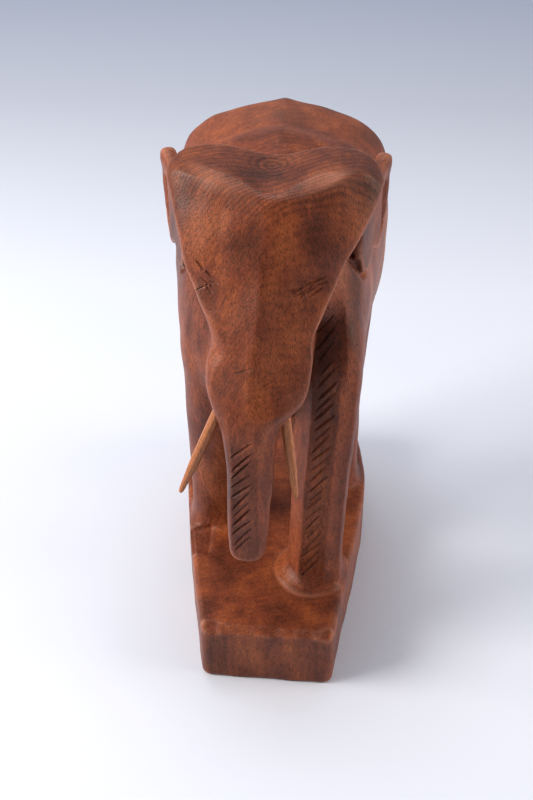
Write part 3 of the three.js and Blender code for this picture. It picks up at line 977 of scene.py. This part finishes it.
def knife_finished_hardwood(finish):
    """Reddish tropical hardwood, cut with a knife, sanded a little and oiled: a satin surface whose open
    pores show as dark dots on the face, where the grain runs out, and as dashes along the sides and top."""
    material, tree, shader = new_material("Oiled reddish hardwood")
    place = add(tree, "ShaderNodeTexCoord").outputs["Object"]
    mm = add(tree, "ShaderNodeMapping", i0=place, i3=(1 / MM, 1 / MM, 1 / MM)).outputs[0]
    # The fibres run upright, a little off true. The growth layers are upright too, and face the rear.
    fibre = add(tree, "ShaderNodeMapping", i0=mm, i2=(0.1, 0.12, 0), i3=(1, 1, 0.35)).outputs[0]
    layer = add(tree, "ShaderNodeMapping", i0=mm, i2=(TURN / 4, 0.336, 0)).outputs[0]

    # Scales are per mm: colour patches of 9 mm, flecks of 0.9 mm, and pores of 0.33 mm, which is coarser than
    # the real 0.1 to 0.2 mm so that they show. A wave's bands are 0.314 mm apart at scale 1, so the growth
    # layers are 1.85 mm apart and the fine lines between them 0.75 mm.
    patches = add(tree, "ShaderNodeTexNoise", i0=fibre, Scale=0.11, Detail=5.0, Roughness=0.6).outputs[0]
    bands = {"wave_type": "BANDS", "bands_direction": "Z"}
    wavy = {"i0": layer, "Detail": 4.0, "Detail Scale": 0.12, "Detail Roughness": 0.6}
    years = add(tree, "ShaderNodeTexWave", bands, Scale=0.17, Distortion=4.0, **wavy).outputs[1]
    fine = add(tree, "ShaderNodeTexWave", bands, Scale=0.42, Distortion=9.0, **wavy).outputs[1]
    pores = add(tree, "ShaderNodeTexNoise", i0=fibre, Scale=3.0, Detail=1.0, Roughness=0.6).outputs[0]
    flecks = add(tree, "ShaderNodeTexNoise", i0=fibre, Scale=1.1, Detail=3.0, Roughness=0.8).outputs[0]

    # The knot: uneven rings 1.85 mm apart, which fade out between 3.5 and 8 mm from its middle.
    knot = add(tree, "ShaderNodeMapping", i0=mm, i1=tuple(-stack(*KNOT))).outputs[0]
    reach = add(tree, "ShaderNodeVectorMath", {"operation": "LENGTH"}, i0=knot).outputs["Value"]
    rings = {"wave_type": "RINGS", "rings_direction": "SPHERICAL"}
    uneven = {"i0": knot, "Distortion": 3.5, "Detail": 3.0, "Detail Scale": 0.2}
    whorl = add(tree, "ShaderNodeTexWave", rings, Scale=0.17, **uneven).outputs[1]
    near_knot = add(tree, "ShaderNodeMapRange", i0=reach, i1=8.0, i2=3.5).outputs[0]
    whorl = add(tree, "ShaderNodeMapRange", i0=whorl, i1=0.1, i2=0.9, i3=0.6, i4=1.05).outputs[0]
    whorl = add(tree, "ShaderNodeMix", {"data_type": "FLOAT"}, i0=near_knot, i2=1.0, i3=whorl).outputs[0]

    # The growth layers are clear on the crown, where the knife crosses them, and faint below it.
    height = add(tree, "ShaderNodeSeparateXYZ", i0=mm).outputs[2]
    clear = add(tree, "ShaderNodeMapRange", i0=height, i1=134.0, i2=138.5, i3=0.25, i4=1.0).outputs[0]

    colour = ramp(tree, patches, [(0.33, finish.dark_wood), (0.5, finish.wood), (0.67, finish.light_wood)])
    shades = [
        faded(tree, clear, years, 0.8, 1.08),
        faded(tree, clear, fine, 0.68, 1.16),
        add(tree, "ShaderNodeMapRange", i0=flecks, i1=0.35, i2=0.65, i3=0.78, i4=1.22).outputs[0],
        whorl,
    ]
    # Darker tone and painted shade darken the colour by up to 30 percent
    stain_and_shade = add(tree, "ShaderNodeAttribute", {"attribute_name": "stain_and_shade"}).outputs["Fac"]
    stain_and_shade = add(tree, "ShaderNodeMapRange", i0=stain_and_shade, i3=1.0, i4=0.7).outputs[0]
    open_pore = add(tree, "ShaderNodeMapRange", i0=pores, i1=0.34, i2=0.5, i3=0.58, i4=1.04).outputs[0]
    for shade in (*shades, stain_and_shade, open_pore):
        colour = add(tree, "ShaderNodeVectorMath", {"operation": "SCALE"}, i0=colour, Scale=shade).outputs[0]
    # Wear and painted highlights and sheen blend the colour towards the pale worn colour
    wear_and_highlight = add(tree, "ShaderNodeAttribute", {"attribute_name": "wear_and_highlight"}).outputs["Fac"]
    wear_and_highlight = add(tree, "ShaderNodeMapRange", i0=wear_and_highlight, i3=0.0, i4=0.52).outputs[0]
    pale = (*finish.worn_and_highlight_wood, 1)
    worn = add(tree, "ShaderNodeMix", {"data_type": "RGBA"}, i0=wear_and_highlight, i6=colour, i7=pale).outputs[2]
    tree.links.new(worn, shader.inputs["Base Color"])

    # Pores are open to a tenth of a millimetre, and the oil leaves a satin sheen.
    bump = add(tree, "ShaderNodeBump", Strength=0.6, Distance=0.1 * MM, Height=open_pore)
    tree.links.new(bump.outputs[0], shader.inputs["Normal"])
    shader.inputs["Roughness"].default_value = 0.42
    shader.inputs["IOR"].default_value = 1.45
    shader.inputs["Specular IOR Level"].default_value = 0.27
    return material


def scraped_pale_wood(finish):
    """Pale orange close-grained wood, scraped round: long fine lines and a soft sheen."""
    material, tree, shader = new_material("Scraped pale wood")
    place = add(tree, "ShaderNodeTexCoord").outputs["Object"]
    mm = add(tree, "ShaderNodeMapping", i0=place, i3=(1 / MM, 1 / MM, 0.07 / MM)).outputs[0]
    # Grain lines 0.3 mm apart, each drawn out to about 4 mm along the tusk
    lines = add(tree, "ShaderNodeTexNoise", i0=mm, Scale=3.4, Detail=3.0).outputs[0]
    colour = ramp(tree, lines, [(0.35, finish.tusk_line), (0.6, finish.tusk)])
    tree.links.new(colour, shader.inputs["Base Color"])
    shader.inputs["Roughness"].default_value = 0.45
    return material


def paper(finish):
    """Matt white paper: pale and even round the figure, with painted shade that makes it darker and bluer
    where it recedes behind it.
    """
    material, tree, shader = new_material("White paper")
    place = add(tree, "ShaderNodeTexCoord").outputs["Object"]
    back = add(tree, "ShaderNodeSeparateXYZ", i0=place).outputs[1]
    # Painted shade: the floor grows darker and bluer from 150 to 520 mm behind the base's middle
    share = add(tree, "ShaderNodeMapRange", i0=back, i1=150 * MM, i2=520 * MM).outputs[0]
    stops = [(0, finish.paper), (0.5, finish.paper_shade_behind), (1, finish.paper_shade_far)]
    tree.links.new(ramp(tree, share, stops), shader.inputs["Base Color"])
    shader.inputs["Roughness"].default_value = 0.9
    return material


def set_material(piece, material):
    """The piece gets this material and no other."""
    piece.data.materials.clear()
    piece.data.materials.append(material)


def size_of(name, description, mm):
    """A size that a user may change, with its default in mm."""
    return FloatProperty(name=name, description=description, unit="LENGTH", default=mm * MM)


def colour_of(name, description, code):
    """A colour that a user may change, with its default as an sRGB hex code."""
    return FloatVectorProperty(name=name, description=description, subtype="COLOR", default=to_linear(code))


class ElephantSizes(PropertyGroup):
    """Sizes that a user may change."""

    cut_depth: size_of("Knife cut depth", "Depth of the cuts on trunk and leg", 0.6)
    cut_width: size_of("Knife cut width", "Width of the cuts on trunk and leg", 1.25)
    grain_of_mesh: size_of("Mesh step", "Side of the cubes that melt the forms together", 0.5)
    most_faces: IntProperty(name="Faces", description="Most triangles in the carving", default=185000)


class ElephantFinish(PropertyGroup):
    """Colours that a user may change."""

    wood: colour_of("Wood", "Main colour of the hardwood", "#773c25")
    dark_wood: colour_of("Dark wood", "Its darkest streaks", "#562b1c")
    light_wood: colour_of("Light wood", "Its palest streaks", "#934f2c")
    # Pale colour for rubbed wear and for painted highlights and sheen
    worn_and_highlight_wood: colour_of("Worn wood", "Where edges are rubbed", "#ba7f66")
    tusk: colour_of("Tusk", "Main colour of the tusks", "#ac6837")
    tusk_line: colour_of("Tusk lines", "Their grain lines", "#854c25")
    paper: colour_of("Paper", "The floor round the figure", "#d1dbe9")
    # Painted shade on the floor behind the figure and at the picture's top
    paper_shade_behind: colour_of("Paper behind", "The floor a step behind it", "#bac4d4")
    paper_shade_far: colour_of("Paper far off", "The floor at the picture's top", "#b2bfd4")


class ELEPHANT_OT_carving(Operator):
    """Builds the elephant and its base, carved from one block"""

    bl_idname = "elephant.carving"
    bl_label = "Carving"

    def execute(self, context):
        carving = build_carving(context.scene.elephant_sizes)
        carving.name = "elephant_carving"
        set_material(carving, knife_finished_hardwood(context.scene.elephant_finish))
        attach(carving, "root")
        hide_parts("carved_elephant")
        return {"FINISHED"}


class ELEPHANT_OT_tusks(Operator):
    """Builds the two loose tusks, which stand in holes beside the mouth"""

    bl_idname = "elephant.tusks"
    bl_label = "Tusks"

    def execute(self, context):
        wood = scraped_pale_wood(context.scene.elephant_finish)
        for node, ends in TUSKS.items():
            points, faces = tusk(*ends)
            piece = new_piece(node + "_rod", points * MM, faces)
            piece.data.shade_smooth()
            set_material(piece, wood)
            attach(piece, "root")
            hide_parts(node)
        return {"FINISHED"}


def soft_light(name, spot, size, watts, colour):
    """A round soft light at spot, in mm, turned by two angles to face LIGHT_AIM."""
    light = bpy.data.lights.new(name, "AREA")
    light.shape = "DISK"
    light.size = size * MM
    light.energy = watts
    light.color = to_linear(colour)
    lamp = bpy.data.objects.new(name, light)
    bpy.context.scene.collection.objects.link(lamp)
    from_aim = np.subtract(spot, LIGHT_AIM)
    flat = math.hypot(from_aim[0], from_aim[1])
    lamp.location = [value * MM for value in spot]
    lamp.rotation_euler = (math.atan2(flat, from_aim[2]), 0, math.atan2(from_aim[0], -from_aim[1]))


class ELEPHANT_OT_studio(Operator):
    """Builds the pale floor, the soft lights and the camera"""

    bl_idname = "elephant.studio"
    bl_label = "Studio"

    def execute(self, context):
        scene = context.scene
        scene.view_settings.view_transform = "Standard"
        corners = np.array([(-1, -1, 0), (1, -1, 0), (1, 1, 0), (-1, 1, 0)], float) * FLOOR_REACH * MM
        floor = new_piece("floor", corners, np.array([(0, 1, 2), (0, 2, 3)]))
        set_material(floor, paper(context.scene.elephant_finish))

        # A room that is brighter behind the figure than in front of it
        world = bpy.data.worlds.new("Bright room")
        world.use_nodes = True
        tree = world.node_tree
        sky = tree.nodes["Background"]
        towards = add(tree, "ShaderNodeTexCoord").outputs["Generated"]
        behind = add(tree, "ShaderNodeSeparateXYZ", i0=towards).outputs[1]
        light = add(tree, "ShaderNodeMapRange", i0=behind, i1=-1.0, i2=0.6, i3=0.1, i4=0.53).outputs[0]
        tree.links.new(light, sky.inputs[1])
        sky.inputs[0].default_value = (*to_linear("#e7ecf9"), 1)
        scene.world = world

        for row in LIGHTS:
            soft_light(*row)

        camera = bpy.data.cameras.new("Camera")
        camera.sensor_fit = "VERTICAL"
        camera.sensor_height = SENSOR_HEIGHT
        camera.lens = LENS
        camera.clip_start = 10 * MM
        camera.clip_end = 10
        viewer = bpy.data.objects.new("Camera", camera)
        viewer.location = [value * MM for value in CAMERA_SPOT]
        viewer.rotation_euler = (math.radians(CAMERA_TILT), 0, math.radians(CAMERA_TURN))
        scene.collection.objects.link(viewer)
        scene.camera = viewer
        return {"FINISHED"}


class VIEW3D_PT_elephant(Panel):
    """Lists the pieces and their sizes and colours"""

    bl_label = "Carved Elephant"
    bl_space_type = "VIEW_3D"
    bl_region_type = "UI"
    bl_category = "Elephant"

    def draw(self, context):
        layout = self.layout
        for operator in OPERATORS:
            layout.operator(operator.bl_idname)
        for group in (context.scene.elephant_sizes, context.scene.elephant_finish):
            for name in group.__annotations__:
                layout.prop(group, name)


OPERATORS = (ELEPHANT_OT_studio, ELEPHANT_OT_carving, ELEPHANT_OT_tusks)
CLASSES = (ElephantSizes, ElephantFinish, *OPERATORS, VIEW3D_PT_elephant)


def register():
    """Makes the classes known and hangs the two groups of properties on the scene."""
    for cls in CLASSES:
        bpy.utils.register_class(cls)
    bpy.types.Scene.elephant_sizes = PointerProperty(type=ElephantSizes)
    bpy.types.Scene.elephant_finish = PointerProperty(type=ElephantFinish)


def unregister():
    """Takes away what register added, last first."""
    del bpy.types.Scene.elephant_finish
    del bpy.types.Scene.elephant_sizes
    for cls in reversed(CLASSES):
        bpy.utils.unregister_class(cls)


def main():
    """Registers the classes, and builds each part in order."""
    register()
    bpy.ops.elephant.studio()
    bpy.ops.elephant.carving()
    bpy.ops.elephant.tusks()


if __name__ == "__main__":
    main()
